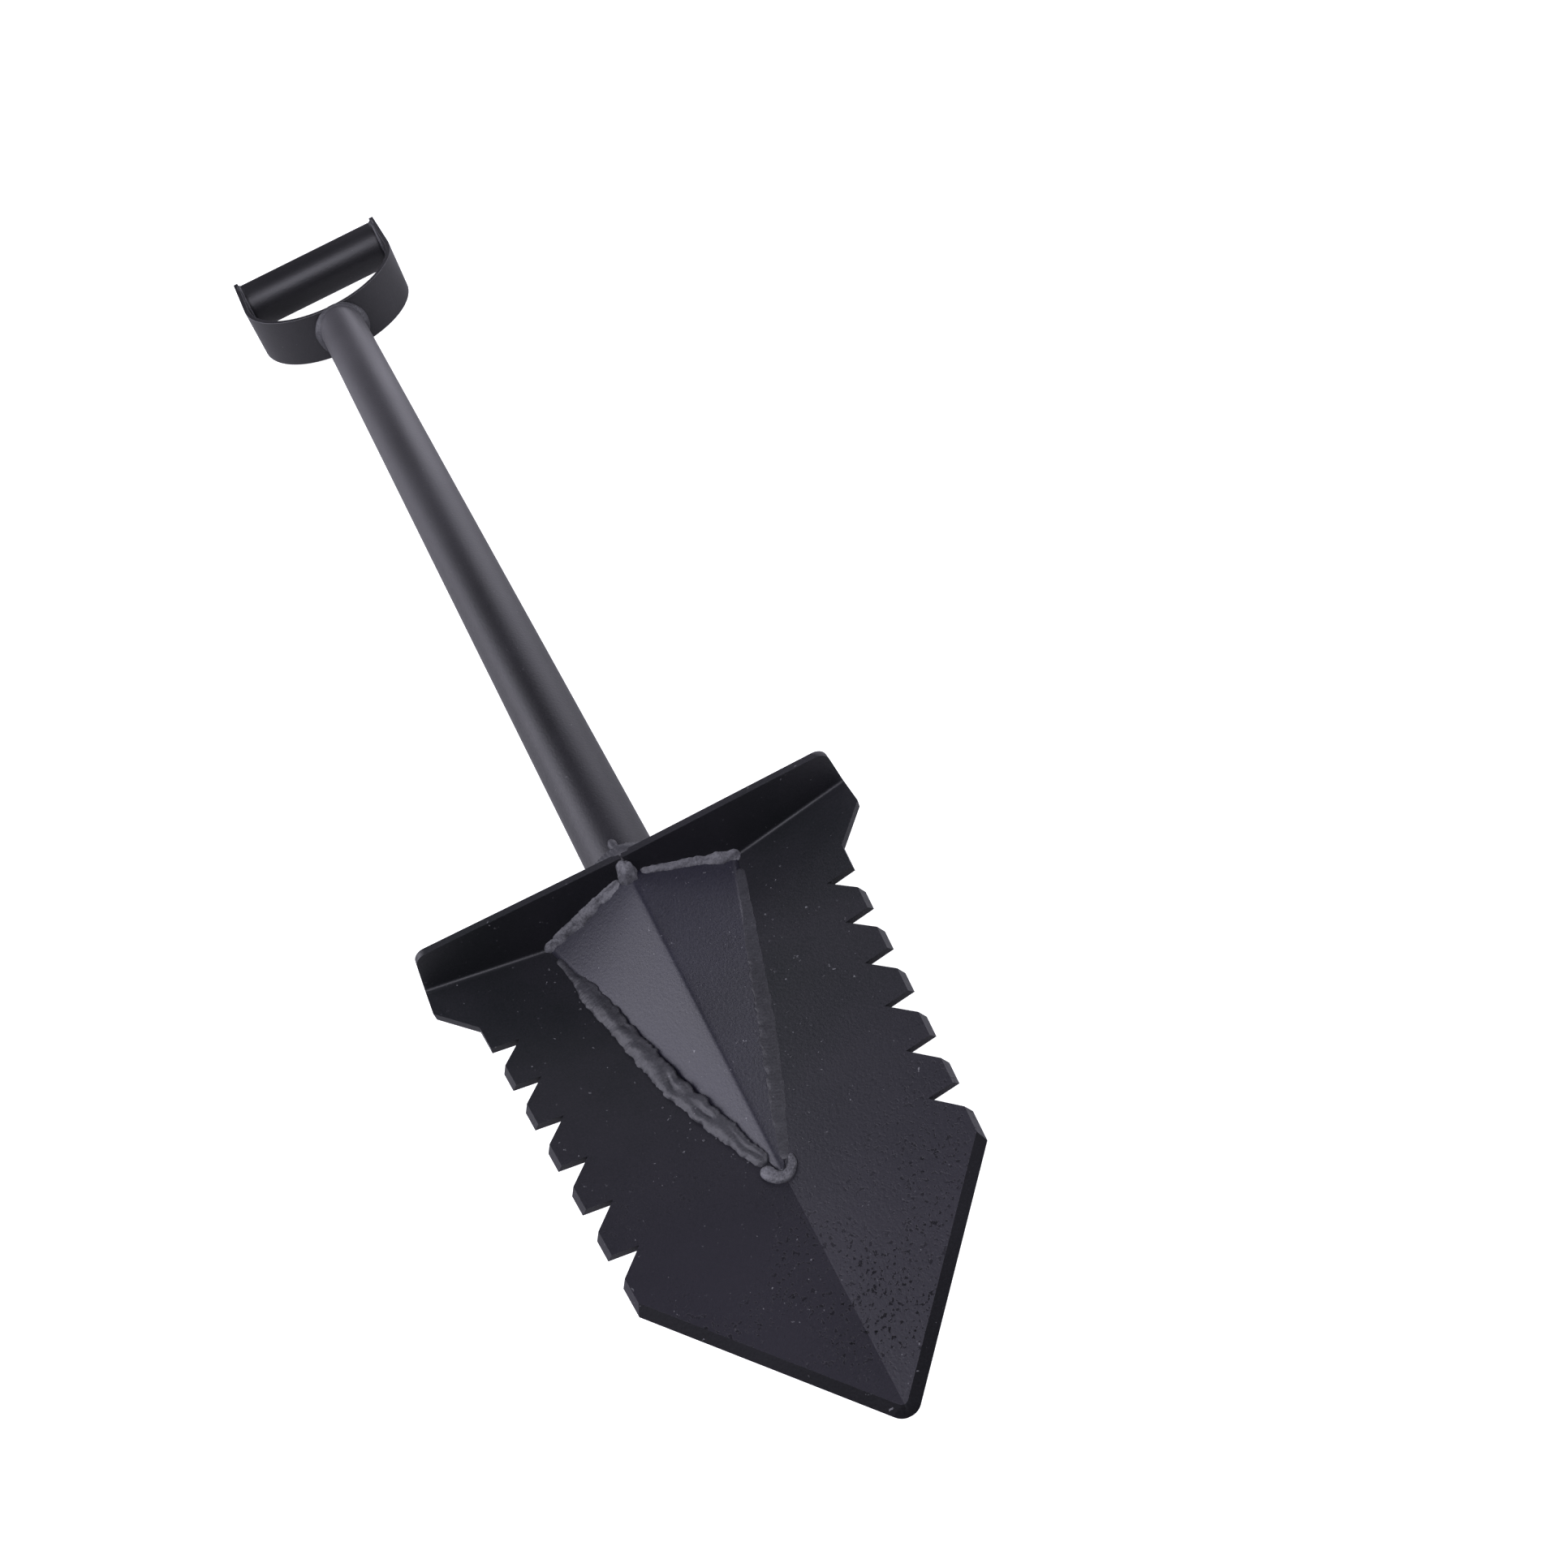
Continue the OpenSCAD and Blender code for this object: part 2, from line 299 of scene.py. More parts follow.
def powder_coat(name, deep, bare, rough, peel=0.5, flecks=0.6, pits=0.0, lumps=0.0, shine=0.5, painted_light_ramp=None):
    """Satin black powder coat over steel: orange peel, uneven gloss and tone, flecks and pits.

    The last argument is (colour, y where it starts, y where it is full): painted light, a lightening along y
    that stands in for light falling on that end.
    """
    material = bpy.data.materials.new(name)
    material.use_nodes = True
    tree = material.node_tree
    tree.nodes.clear()
    start = Wire(tree)
    place = start.node("TexCoord", out=3)
    along = start.node("SeparateXYZ", None, {"Vector": place}, out=1)

    def cloudy(scale, detail, shift=0.0):
        spot = start.node("VectorMath", {"operation": "ADD"}, {0: place, 1: (shift, shift, shift)})
        return start.node("TexNoise", None, {"Vector": spot, "Scale": scale, "Detail": detail})

    cloud = cloudy(16.0, 3.0)
    grain = cloudy(1300.0, 3.0, 1.0)
    fine = cloudy(800.0, 2.0, 2.0)
    fleck = cloudy(560.0, 2.0, 3.0).rise(0.70, 0.76) * cloudy(60.0, 2.0, 4.0).rise(0.42, 0.62) * flecks
    tone = 0.55 * cloud.rise(0.34, 0.66) + 0.45 * grain.rise(0.3, 0.7)
    colour = tone.blend(rgba(*deep), rgba(*bare))
    # Painted light: the coat is lightened along y, mottled, to stand in for light falling on that end.
    if painted_light_ramp:
        painted_light_mask = along.rise(painted_light_ramp[1], painted_light_ramp[2]) * (0.5 + 0.35 * cloud + 0.5 * grain)
        colour = painted_light_mask.blend(colour, rgba(*painted_light_ramp[0]))
    colour = fleck.blend(colour, rgba(0.2, 0.2, 0.21))
    roughness = rough + 0.12 * cloud + 0.1 * grain
    height = peel * fine + 0.5 * peel * grain + 0.5 * fleck
    if pits:
        region = along.rise(rest_y - 0.10, rest_y - 0.21) * cloudy(26.0, 2.0, 5.0).rise(0.36, 0.6)
        hole = cloudy(640.0, 2.0, 6.0).rise(0.575, 0.65) * region * pits
        dot = cloudy(900.0, 1.0, 7.0).rise(0.66, 0.74) * region * pits
        height = height - 1.1 * hole - 0.4 * dot
    if lumps:
        height = height + lumps * cloudy(420.0, 3.0, 8.0)
    bump = start.node("Bump", None, {"Height": height, "Distance": 0.00025, "Strength": 0.7})
    shader = start.node("BsdfPrincipled", None, {
        "Base Color": colour,
        "Roughness": roughness,
        "Normal": bump,
        "Specular IOR Level": shine,
    })
    if pits:
        soot = start.node("BsdfPrincipled", None, {
            "Base Color": rgba(0.0015, 0.0015, 0.002),
            "Roughness": 0.9,
            "Normal": bump,
            "Specular IOR Level": 0.1,
        })
        shader = start.node("MixShader", None, {0: hole * 0.8 + dot * 0.7, 1: shader, 2: soot})
    start.node("OutputMaterial", None, {"Surface": shader})
    return material


# The blade's coat lightens towards its point: painted light, standing in for the light its lower part
# reflects; the shift from teal-black to violet there is its tint.
blade_coat = powder_coat("blade_coat", (0.004, 0.0052, 0.006), (0.010, 0.0095, 0.0125), 0.36, pits=1.0,
                         shine=0.38, painted_light_ramp=((0.0095, 0.0085, 0.0135), rest_y - 0.06, rest_y - 0.20))
# Light grey on the rounded edges: a painted highlight along every arris.
edge_highlight_coat = powder_coat("edge_highlight_coat", (0.09, 0.09, 0.095), (0.2, 0.2, 0.21), 0.4)
ground_coat = powder_coat("ground_coat", (0.002, 0.002, 0.003), (0.006, 0.006, 0.008), 0.45, shine=0.14)
blade = add_piece("blade_plate", blade_mesh(), blade_coat, edge_highlight_coat, ground_coat)
break_edges(blade, arris)
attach(blade, "root")
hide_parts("blade")


# ---------------------------------------------------------------------------------------------
# Weld between the foot rests
# A narrow seam of filler metal that closes the slit between the two bent flaps, from the bend
# to their front edge. It is laid by hand, dressed nearly flush and coated with the rest.

ripple_pitch = 1.5 * mm


def smoothed(skin):
    """The skin with its faces turned outwards and shaded smooth."""
    bmesh.ops.recalc_face_normals(skin, faces=skin.faces)
    for face in skin.faces:
        face.smooth = True
    return skin


def bead(path, size, outward, seed, tall=0.55, wander=0.0, lumpy=0.2, ragged=0.0, ripple=0.03, furrow=0.0,
         loop=False):
    """Skin of a hand-laid weld along a path: size(t) is its half width, outward(t) the way it faces."""
    around = 28
    skin = bmesh.new()
    rings = []
    count = len(path)
    length = sum((b - a).length for a, b in zip(path, path[1:]))
    for i, centre in enumerate(path):
        t = i / (count - 1)
        ahead = path[(i + 1) % count] if loop else path[min(i + 1, count - 1)]
        behind = path[i - 1] if loop else path[max(i - 1, 0)]
        along = (ahead - behind).normalized()
        out = outward(t)
        out = (out - along * out.dot(along)).normalized()
        across = along.cross(out)
        far = t * length
        sway = noise.noise(Vector((far / (11 * mm), seed, 0.5))) * wander
        end = 1.0
        if not loop:
            reach = max(size(t), 0.3 * mm)
            from_end = min(1.0, min(far, length - far) / reach)
            end = max(math.sqrt(1 - (1 - from_end) ** 2), 0.02)
        fray = [0, 0]
        for side in (0, 1):
            spot = Vector((far / (4.5 * mm), seed + 5 + 9 * side, 0.2))
            fray[side] = 1 + ragged * (noise.noise(spot) + 0.6 * noise.noise(spot * 2.6))
        if loop:
            blend = min(1.0, (1 - t) * 8)
            fray = [1 + (f - 1) * blend for f in fray]
            sway *= blend
        ring = []
        for j in range(around):
            turn = 2 * math.pi * j / around
            wave = math.cos(2 * math.pi * (far / ripple_pitch + 0.8 * math.cos(turn) ** 2))
            spot = Vector((far / (5.5 * mm), seed + math.cos(turn) * 1.1, math.sin(turn) * 1.1))
            swell = noise.noise(spot) + 0.4 * noise.noise(spot * 3.1)
            if loop:
                swell *= min(1.0, (1 - t) * 8)
            wide = size(t) * end * (fray[0] if math.cos(turn) > 0 else fray[1]) * (1 + 0.4 * lumpy * swell)
            high = size(t) * end * tall * (1 + lumpy * swell + ripple * wave)
            drift = noise.noise(Vector((far / (15 * mm), seed, 3.3)))
            dip = furrow * (0.7 + 1.4 * noise.noise(Vector((far / (9 * mm), seed, 6.1))))
            high *= 1 - max(0.0, dip) * math.exp(-((math.cos(turn) + 0.35 + 0.7 * drift) / 0.2) ** 2)
            ring.append(skin.verts.new(
                centre + across * (sway + wide * math.cos(turn)) + out * (high * math.sin(turn))
            ))
        rings.append(ring)
    pairs = list(zip(rings, rings[1:]))
    if loop:
        pairs.append((rings[-1], rings[0]))
    for a, b in pairs:
        for j in range(around):
            k = (j + 1) % around
            skin.faces.new([a[j], a[k], b[k], b[j]])
    if not loop:
        skin.faces.new(rings[0])
        skin.faces.new(rings[-1])
    return smoothed(skin)


def straight(a, b, step=0.5 * mm):
    """Evenly spaced points from a to b."""
    count = max(2, int((b - a).length / step))
    return [a.lerp(b, i / count) for i in range(count + 1)]


def steady(value):
    return lambda t: value


# Both weld coats are lighter than the plates': painted light for the light the rough beads catch. The
# second, lighter still, paints the highlights on the top beads, ridge blob and nose.
weld_coat = powder_coat("weld_coat", (0.012, 0.012, 0.014), (0.03, 0.03, 0.035), 0.42, peel=0.5, lumps=1.4)
weld_highlight_coat = powder_coat("weld_highlight_coat", (0.02, 0.02, 0.023), (0.11, 0.11, 0.12), 0.45, peel=0.7, lumps=2.4)

seam_mid_y = (seam_low.y + seam_high.y) / 2
seam_path = straight(Vector((0, seam_mid_y, seam_low.z)), Vector((0, seam_mid_y, seam_high.z - 0.6 * mm)))
seam_skin = bead(seam_path, steady(1.3 * mm), steady(Vector((0, 1, 0))), 3.1, tall=1.5, lumpy=0.08)
seam_bead = add_piece("seam_bead", seam_skin, weld_coat)
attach(seam_bead, "root")
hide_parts("foot_rest_seam_weld")


# ---------------------------------------------------------------------------------------------
# Gusset
# A triangular 3 mm steel plate, folded along a soft ridge. It stands on the blade's front face
# with its top against the foot rests, and it is welded along all three of its edges.

gusset_low, gusset_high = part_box("gusset")
gusset_t = 3 * mm
gusset_half_w = gusset_high.x
nose = Vector((0, gusset_low.y, fold_z))
ridge_top = Vector((0, rest_y, gusset_high.z))
corner_z = fold_z + gusset_half_w * math.tan(fold)
ridge_soft = 0.6 * mm
gusset_rows = 60
gusset_columns = 24


def gusset_mesh():
    """The gusset's outer skin: straight facets either side of a ridge with a small bend radius."""
    skin = bmesh.new()
    rows = []
    for i in range(gusset_rows + 1):
        up = 0.02 + 0.98 * i / gusset_rows
        y = nose.y + (rest_y - nose.y) * up
        top = nose.z + (ridge_top.z - nose.z) * up
        half = gusset_half_w * up
        foot = nose.z + (corner_z - nose.z) * up
        slope = (top - foot) / half
        row = []
        for j in range(-gusset_columns, gusset_columns + 1):
            share = j / gusset_columns
            x = half * math.copysign(abs(share) ** 1.6, share)
            z = top + slope * (ridge_soft * 0.5 - math.hypot(x, ridge_soft) + ridge_soft * 0.5)
            row.append(skin.verts.new((x, y, z)))
        rows.append(row)
    for a, b in zip(rows, rows[1:]):
        for j in range(2 * gusset_columns):
            skin.faces.new([a[j], a[j + 1], b[j + 1], b[j]])
    return smoothed(skin)


gusset_coat = powder_coat("gusset_coat", (0.006, 0.006, 0.010), (0.013, 0.0125, 0.022), 0.34)
gusset = add_piece("gusset_plate", gusset_mesh(), gusset_coat)
thick = gusset.modifiers.new("plate", "SOLIDIFY")
thick.thickness = gusset_t
thick.offset = -1
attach(gusset, "root")
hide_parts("gusset")


# ---------------------------------------------------------------------------------------------
# Welds round the gusset
# Heavy hand-laid beads down both sides, lighter ones under the foot rests, a blob over the
# ridge's top and a round nose at the point, with drops of spatter frozen onto the blade.

corner = {side: Vector((side * gusset_half_w, rest_y, corner_z)) for side in (-1, 1)}


def down_side(side, start, end, bow):
    """Points on the blade down the gusset's side edge, bowed away from it by up to bow."""
    points = []
    for i in range(301):
        t = start + (end - start) * i / 300
        edge = corner[side].lerp(nose, t)
        out = bow * math.sin(math.pi * t ** 1.5)
        points.append(edge + Vector((side * out, 0, out * math.tan(fold))))
    return points


def swelling(points):
    """A radius that runs straight between (share of the way, radius) points."""
    def at(t):
        for (t0, r0), (t1, r1) in zip(points, points[1:]):
            if t <= t1:
                return r0 + (r1 - r0) * (t - t0) / (t1 - t0)
        return points[-1][1]
    return at


side_bows = {-1: 5.2 * mm, 1: 2.2 * mm}
side_sizes = {
    -1: [(0, 1.6 * mm), (0.1, 2.2 * mm), (0.17, 4.6 * mm), (0.6, 5.2 * mm), (0.85, 4.6 * mm), (1, 3.2 * mm)],
    1: [(0, 3.4 * mm), (0.5, 4.6 * mm), (0.8, 4.0 * mm), (1, 2.4 * mm)],
}
side_talls = {-1: 0.6, 1: 0.26}
side_ends = {-1: 0.94, 1: 0.95}
side_names = {-1: "left", 1: "right"}
for side in (-1, 1):
    skin = bead(down_side(side, 0.05, side_ends[side], side_bows[side]), swelling(side_sizes[side]),
                steady(Vector((side * 0.1, -0.1, 1))), 11.7 + side, tall=side_talls[side],
                wander=0.7 * mm, lumpy=0.26, ragged=0.26, furrow=0.5 if side < 0 else 0)
    piece = add_piece("side_bead_" + side_names[side], skin, weld_coat)
    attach(piece, "root")
    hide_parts("gusset_side_weld_" + side_names[side])

top_sizes = {
    -1: [(0, 3.4 * mm), (0.5, 4.6 * mm), (1, 3.8 * mm)],
    1: [(0, 2.6 * mm), (0.6, 3.4 * mm), (0.74, 4.6 * mm), (1, 4.2 * mm)],
}
for side in (-1, 1):
    path = straight(ridge_top.lerp(corner[side], 0.10), ridge_top.lerp(corner[side], 1.03))
    skin = bead(path, swelling(top_sizes[side]), steady(Vector((side * 0.15, -0.75, 0.6))), 23.4 + side,
                tall=0.62, wander=1.4 * mm, lumpy=0.5, ragged=0.34)
    piece = add_piece("top_bead_" + side_names[side], skin, weld_highlight_coat)
    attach(piece, "root")
    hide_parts("gusset_top_weld_" + side_names[side])


def blob(centre, radii, seed, lumpy=0.22, fineness=4):
    """A rounded lump of weld metal."""
    skin = bmesh.new()
    bmesh.ops.create_icosphere(skin, subdivisions=fineness, radius=1)
    for v in skin.verts:
        way = v.co.normalized()
        swell = noise.noise(way * 1.7 + Vector((seed, 0, 0)))
        swell += 0.4 * noise.noise(way * 4.3 + Vector((0, seed, 0)))
        r = 1 + lumpy * swell
        v.co = centre + Vector((way.x * radii[0], way.y * radii[1], way.z * radii[2])) * r
    return smoothed(skin)


ridge_skin = blob(ridge_top + Vector((-0.9 * mm, -1.0 * mm, -0.5 * mm)), (4.2 * mm, 4.2 * mm, 8.6 * mm), 4.4)
ridge_blob = add_piece("ridge_blob", ridge_skin, weld_highlight_coat)
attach(ridge_blob, "root")
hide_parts("ridge_weld")

nose_turns = 60
nose_path = []
for i in range(nose_turns + 1):
    turn = math.pi * (0.9 + 1.22 * i / nose_turns)
    spot = Vector((5.2 * mm * math.cos(turn), 6.4 * mm + 5.4 * mm * math.sin(turn), 0))
    nose_path.append(nose + spot + Vector((0, 0, 0.2 * mm + abs(spot.x) * math.tan(fold))))
nose_skin = bead(nose_path, swelling([(0, 3.0 * mm), (0.5, 2.5 * mm), (0.8, 1.7 * mm), (1, 1.2 * mm)]),
                 steady(Vector((0, -0.25, 1))), 31.9, tall=0.8, wander=0.6 * mm, lumpy=0.22, ragged=0.15)
nose_bead = add_piece("nose_bead", nose_skin, weld_highlight_coat)
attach(nose_bead, "root")
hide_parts("gusset_nose_weld")

drops = random.Random(41)
spatter_skin = bmesh.new()
for _ in range(70):
    side = drops.choice((-1, -1, 1))
    share = drops.uniform(0.05, 0.97)
    off = 5 * mm + abs(drops.gauss(0, 1)) * 6 * mm
    edge = corner[side].lerp(nose, share)
    s = abs(edge.x) / math.cos(fold) + off
    spot = on_half(s, edge.y - rest_y, 0)
    r = drops.uniform(0.2, 0.6) * mm
    squash = Matrix.Diagonal((1, drops.uniform(0.8, 1.5), 0.6, 1))
    where = Matrix.Translation((side * spot.x, spot.y, spot.z)) @ squash
    bmesh.ops.create_icosphere(spatter_skin, subdivisions=2, radius=r, matrix=where)
spatter = add_piece("weld_spatter", smoothed(spatter_skin), weld_coat)
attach(spatter, "root")


# ---------------------------------------------------------------------------------------------
# Shaft
# A drawn round steel tube, 32 mm across with a 2 mm wall. Its foot is welded all round to the
# foot rests, where one drop of weld has run up its front.

shaft_r = shaft_high.x
shaft_wall = 2 * mm
tube_steps = 144


def tube_mesh(start, axis, length, r, wall, seed, rows=80):
    """A tube with broken end edges, drawn a few hundredths of a millimetre out of true."""
    skin = bmesh.new()
    spin = axis.to_track_quat("Z", "Y")
    chamfer = 0.4 * mm
    outer = [(r - chamfer, 0), (r, chamfer)]
    outer += [(r, length * i / rows) for i in range(1, rows)]
    outer += [(r, length - chamfer), (r - chamfer, length)]
    profile = outer + [(r - wall, length), (r - wall, 0)]
    rings = []
    for radius, far in profile:
        ring = []
        for j in range(tube_steps):
            turn = 2 * math.pi * j / tube_steps
            true = 0.03 * mm * noise.noise(Vector((math.cos(turn) + seed, math.sin(turn), far * 9)))
            at = Vector(((radius + true) * math.cos(turn), (radius + true) * math.sin(turn), far))
            ring.append(skin.verts.new(start + spin @ at))
        rings.append(ring)
    for a, b in zip(rings, rings[1:] + rings[:1]):
        for j in range(tube_steps):
            k = (j + 1) % tube_steps
            skin.faces.new([a[j], a[k], b[k], b[j]])
    return smoothed(skin)


# The shaft's coat lightens towards the handle: painted light on its upper part.
shaft_coat = powder_coat("shaft_coat", (0.003, 0.003, 0.004), (0.007, 0.0066, 0.009), 0.36, flecks=0.25,
                         painted_light_ramp=((0.05, 0.049, 0.053), -0.15, 0.42))
shaft_start = Vector((0, shaft_low.y, axis_z))
shaft_length = shaft_high.y - shaft_low.y
shaft_skin = tube_mesh(shaft_start, Vector((0, 1, 0)), shaft_length, shaft_r, shaft_wall, 2.2)
shaft = add_piece("shaft_tube", shaft_skin, shaft_coat)
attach(shaft, "root")
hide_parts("shaft")

ring_steps = 300


def ring_path(centre, radius, first=Vector((1, 0, 0)), second=Vector((0, 0, 1)), rise=None):
    """Points round a circle; rise(turn) lifts each along the circle's axis."""
    axis = second.cross(first)
    points = []
    for i in range(ring_steps):
        turn = 2 * math.pi * i / ring_steps
        lift = axis * (rise(turn) if rise else 0.0)
        points.append(centre + first * radius * math.cos(turn) + second * radius * math.sin(turn) + lift)
    return points


def outward_from(first, second, axis, lean):
    """The way a ring weld faces: out from the ring's axis, leaning along it."""
    def at(t):
        turn = 2 * math.pi * t
        return first * math.cos(turn) + second * math.sin(turn) + axis * lean
    return at


x_way, y_way, z_way = Vector((1, 0, 0)), Vector((0, 1, 0)), Vector((0, 0, 1))
foot_centre = Vector((0, rest_y + plate + 2.3 * mm, axis_z))
foot_skin = bead(ring_path(foot_centre, shaft_r + 0.8 * mm),
                 lambda t: (4.3 + 0.8 * math.sin(2 * math.pi * t)) * mm,
                 outward_from(x_way, z_way, y_way, 0.9), 5.5, tall=0.7, lumpy=0.2, loop=True)
drip = blob(Vector((-0.6 * mm, rest_y + plate + 10.2 * mm, axis_z + shaft_r - 0.4 * mm)),
            (2.2 * mm, 3.6 * mm, 2.0 * mm), 8.8, lumpy=0.12)
drip_mesh = bpy.data.meshes.new("drip")
drip.to_mesh(drip_mesh)
drip.free()
foot_skin.from_mesh(drip_mesh)
bpy.data.meshes.remove(drip_mesh)
foot_bead = add_piece("shaft_foot_bead", foot_skin, weld_coat)
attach(foot_bead, "root")
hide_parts("shaft_foot_weld")


# ---------------------------------------------------------------------------------------------
# Yoke
# A steel flat bar, 31.6 by 3 mm, rolled to a U. Its bend is welded onto the shaft's open head, and
# the corners of its two ends are rounded.

yoke_low, yoke_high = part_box("yoke")
grip_low, grip_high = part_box("grip")
yoke_t = 3 * mm
yoke_r = yoke_high.x
yoke_half_w = (yoke_high.z - yoke_low.z) / 2
yoke_bend_y = yoke_low.y + yoke_r
yoke_corner_r = 10 * mm
bend_steps = 96
leg_steps = 40


def yoke_stations():
    """Outer point, outward way and half width all along the bar, from one end to the other."""
    leg = yoke_high.y - yoke_bend_y
    downs = [yoke_corner_r * (1 - math.cos(math.pi / 2 * i / 12)) for i in range(13)]
    downs += [yoke_corner_r + (leg - yoke_corner_r) * i / leg_steps for i in range(1, leg_steps)]
    stations = []
    for down in downs:
        inner = max(0.0, 1 - (1 - min(1.0, down / yoke_corner_r)) ** 2)
        half = yoke_half_w - yoke_corner_r * (1 - math.sqrt(inner))
        stations.append((Vector((-yoke_r, yoke_high.y - down, axis_z)), Vector((-1, 0, 0)), half))
    for i in range(bend_steps + 1):
        turn = math.pi + math.pi * i / bend_steps
        way = Vector((math.cos(turn), math.sin(turn), 0))
        stations.append((Vector((0, yoke_bend_y, axis_z)) + way * yoke_r, way, yoke_half_w))
    for point, way, half in reversed(stations[:len(downs)]):
        stations.append((Vector((-point.x, point.y, point.z)), -way, half))
    return stations


def yoke_mesh():
    skin = bmesh.new()
    loops = []
    for point, way, half in yoke_stations():
        loop = []
        for depth, across in ((0, -1), (0, 1), (yoke_t, 1), (yoke_t, -1)):
            loop.append(skin.verts.new(point - way * depth + Vector((0, 0, across * half))))
        loops.append(loop)
    for a, b in zip(loops, loops[1:]):
        for j in range(4):
            k = (j + 1) % 4
            skin.faces.new([a[j], a[k], b[k], b[j]])
    skin.faces.new(loops[0])
    skin.faces.new(loops[-1])
    return smoothed(skin)


yoke_coat = powder_coat("yoke_coat", (0.006, 0.006, 0.0075), (0.01, 0.0095, 0.0115), 0.38, flecks=0.25)
# Its rounded edges carry the painted edge highlight.
yoke = add_piece("yoke_bar", yoke_mesh(), yoke_coat, edge_highlight_coat)
break_edges(yoke, 0.45 * mm)
yoke.modifiers.new("flat faces", "WEIGHTED_NORMAL")
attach(yoke, "root")
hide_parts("yoke")


def saddle(turn):
    """How far the bend's outside lies above its lowest line, round the shaft's head."""
    out = (shaft_r + 0.8 * mm) * math.cos(turn)
    return yoke_r - math.sqrt(yoke_r ** 2 - out ** 2)


head_centre = Vector((0, yoke_low.y - 0.6 * mm, axis_z))
head_path = ring_path(head_centre, shaft_r + 0.3 * mm, rise=lambda turn: -saddle(turn))
head_skin = bead(head_path, lambda t: (1.2 + 3.0 * math.cos(2 * math.pi * t) ** 2) * mm,
                 outward_from(x_way, z_way, y_way, -0.8), 9.1, tall=0.5, lumpy=0.25, loop=True)
head_bead = add_piece("shaft_head_bead", head_skin, weld_coat)
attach(head_bead, "root")
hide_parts("shaft_head_weld")


# ---------------------------------------------------------------------------------------------
# Grip
# A round steel tube, 31 mm across, held between the yoke's legs and welded round both its ends.
# The welds are dressed down to the bar's rims and ends.

grip_r = (grip_high.z - grip_low.z) / 2
grip_y = (grip_low.y + grip_high.y) / 2
grip_coat = powder_coat("grip_coat", (0.006, 0.006, 0.0072), (0.009, 0.0088, 0.0105), 0.33, flecks=0.2)
grip_skin = tube_mesh(Vector((grip_low.x, grip_y, axis_z)), Vector((1, 0, 0)), grip_high.x - grip_low.x,
                      grip_r, 2 * mm, 6.6, rows=30)
grip = add_piece("grip_tube", grip_skin, grip_coat)
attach(grip, "root")
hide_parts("grip")

for side in (-1, 1):
    centre = Vector((side * (grip_high.x - 0.5 * mm), grip_y, axis_z))
    path = ring_path(centre, grip_r - 0.9 * mm, y_way, z_way)
    skin = bead(path, steady(2.2 * mm), outward_from(y_way, z_way, x_way, -side * 0.9), 14.2 + side,
                tall=0.6, lumpy=0.2, loop=True)
    piece = add_piece("grip_bead_" + side_names[side], skin, weld_coat)
    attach(piece, "root")
    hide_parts("grip_weld_" + side_names[side])


# ---------------------------------------------------------------------------------------------
# Studio
# A plain pale floor that looks bright but throws little light on the black steel, five square soft
# lights round the shovel, and a faint, even fill.

floor_skin = bmesh.new()
bmesh.ops.create_grid(floor_skin, x_segments=1, y_segments=1, size=12)
floor_paint = bpy.data.materials.new("floor_paint")
floor_paint.use_nodes = True
floor_paint.node_tree.nodes.clear()
paint = Wire(floor_paint.node_tree)
chalk = paint.node("TexNoise", None, {"Vector": paint.node("TexCoord", out=3), "Scale": 3.0})
matt = paint.node("BsdfDiffuse", None, {"Color": chalk.blend(rgba(0.5, 0.5, 0.5), rgba(0.52, 0.52, 0.52))})
lit = paint.node("Emission", None, {"Color": rgba(1, 1, 1), "Strength": 0.9})
dim = paint.node("Emission", None, {"Color": rgba(0.97, 0.97, 1), "Strength": 0.054})
seen = paint.node("LightPath", out=0)
glow = paint.node("MixShader", None, {0: seen, 1: dim, 2: lit})
paint.node("OutputMaterial", None, {"Surface": paint.node("AddShader", None, {0: matt, 1: glow})})
floor = add_piece("floor", floor_skin, floor_paint)

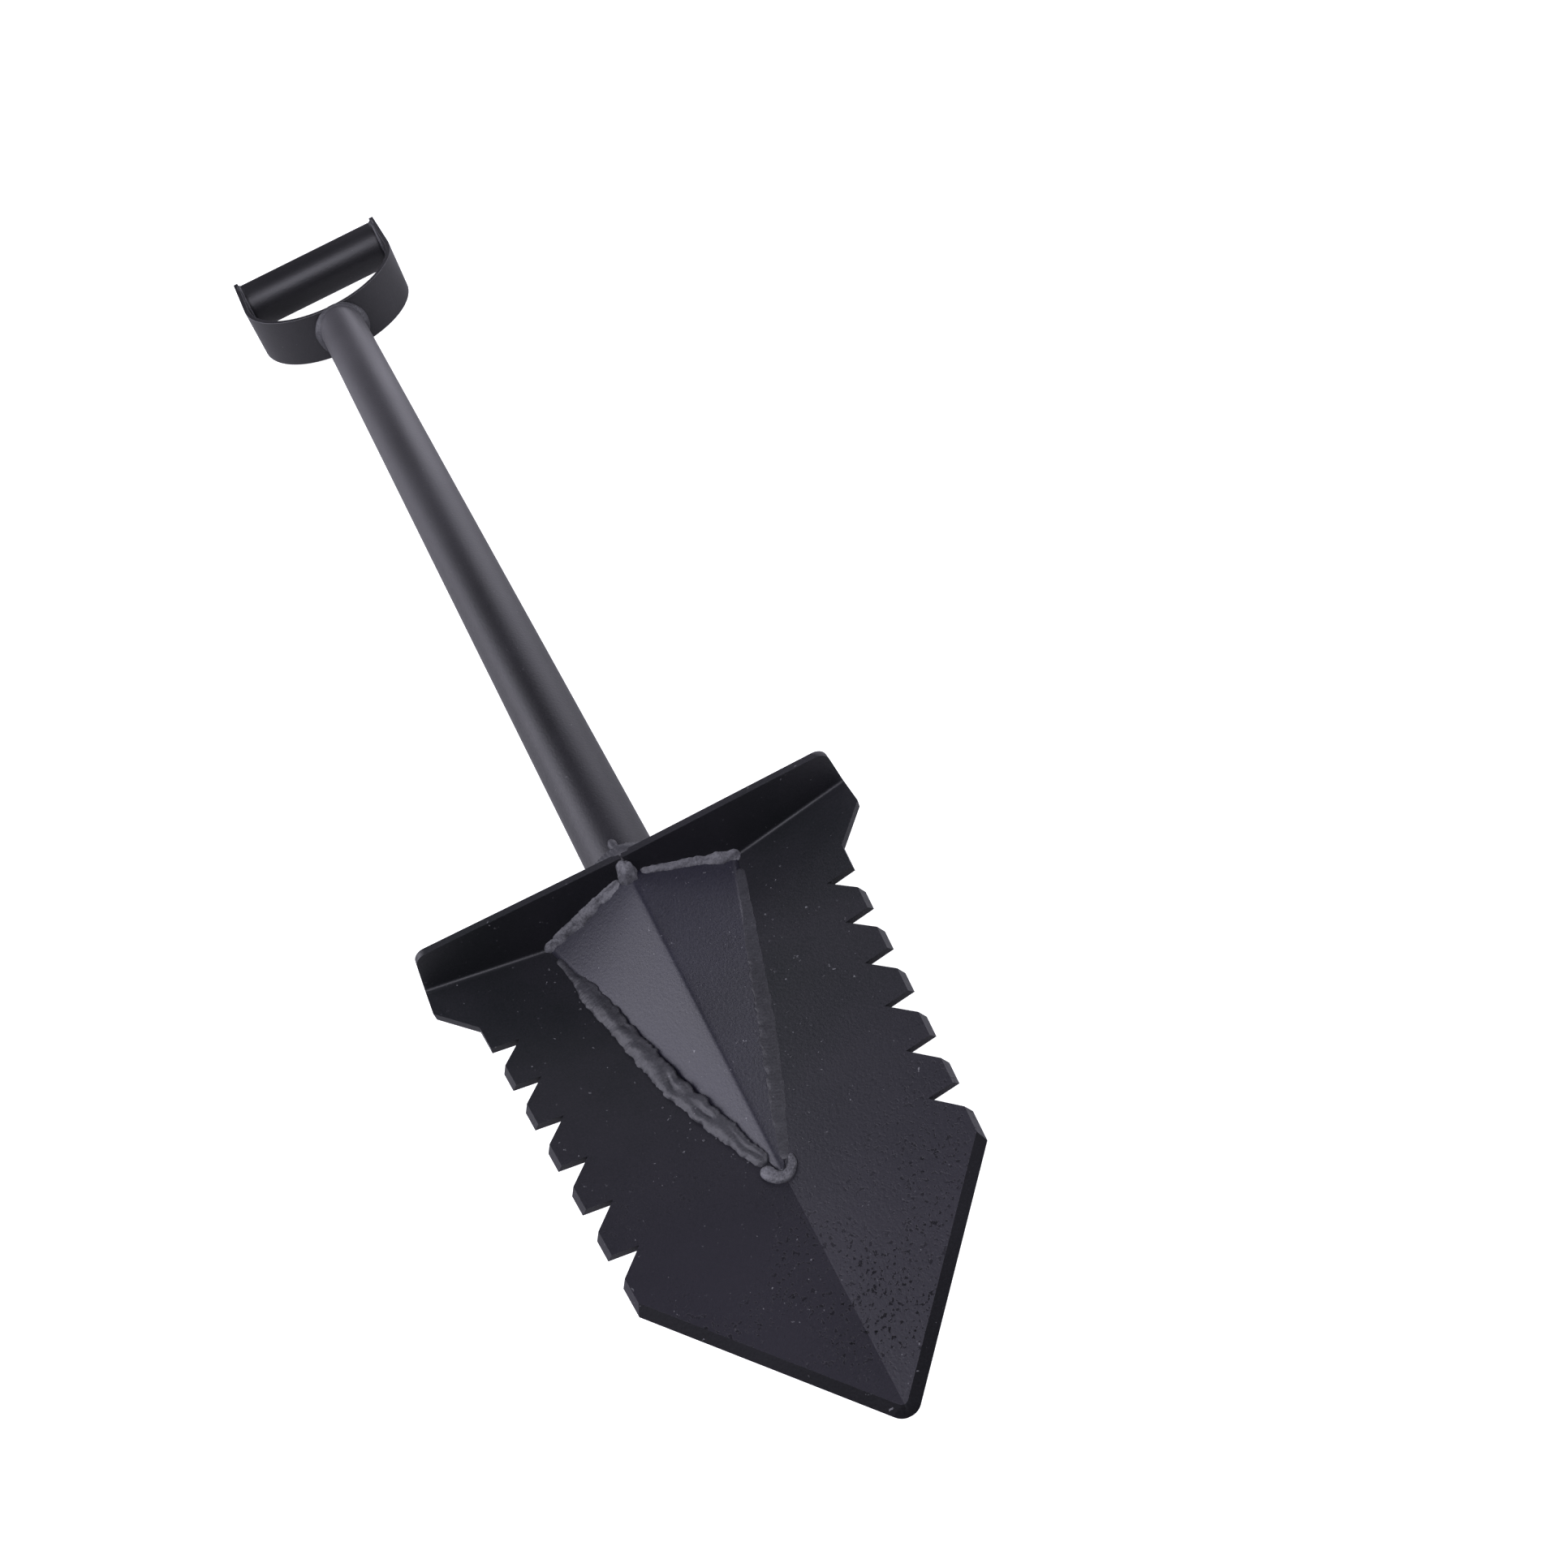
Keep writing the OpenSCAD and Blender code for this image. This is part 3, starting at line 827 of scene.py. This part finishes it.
aim = Vector((0, rest_y, axis_z))
light_distance = 2.2
light_size = 1.5
light_colour = (0.98, 0.96, 1.1)


def soft_light(name, way, power):
    """A square soft light that faces the foot rests."""
    lamp = bpy.data.lights.new(name, "AREA")
    lamp.shape = "SQUARE"
    lamp.size = light_size
    lamp.energy = power
    lamp.color = light_colour
    holder = bpy.data.objects.new(name, lamp)
    way = Vector(way).normalized()
    facing = way.to_track_quat("Z", "Y").to_matrix().to_4x4()
    holder.matrix_world = Matrix.Translation(aim + way * light_distance) @ facing
    bpy.context.scene.collection.objects.link(holder)


soft_light("front_box", (0, -0.5, 0.87), 36)
soft_light("left_box", (-0.8, -0.1, 0.6), 38)
soft_light("back_left_box", (-0.75, 0.6, 0.45), 27)
soft_light("back_right_box", (0.5, 0.85, 0.25), 13)
soft_light("right_box", (0.95, 0.05, 0.3), 33)

world = bpy.data.worlds.new("studio")
bpy.context.scene.world = world
world.use_nodes = True
world.node_tree.nodes.clear()
sky = Wire(world.node_tree)
sky.node("OutputWorld", None, {
    "Surface": sky.node("Background", None, {"Color": rgba(0.96, 0.96, 1), "Strength": 0.032}),
})

bpy.context.scene.view_settings.view_transform = "Standard"


# ---------------------------------------------------------------------------------------------
# Camera
# It stands before the blade's point and above it, looks down along the shaft, and is turned so
# that the handle leans to the upper left.

camera_data = bpy.data.cameras.new("camera")
camera_data.sensor_width = 36
camera_data.lens = 31.68
camera_data.shift_x = 0.068
camera_data.shift_y = 0.130
camera_data.clip_start = 0.01
camera = bpy.data.objects.new("camera", camera_data)
look_down = math.radians(51.41)
look_right = math.radians(1.04)
roll = math.radians(-25.99)
stand = Vector((-10.1 * mm, rest_y - 404.5 * mm, axis_z + 433.1 * mm))
turned = Matrix.Rotation(-look_right, 4, "Z") @ Matrix.Rotation(math.pi / 2 - look_down, 4, "X")
camera.matrix_world = Matrix.Translation(stand) @ turned @ Matrix.Rotation(roll, 4, "Z")
bpy.context.scene.collection.objects.link(camera)
bpy.context.scene.camera = camera


bpy.context.view_layer.update()
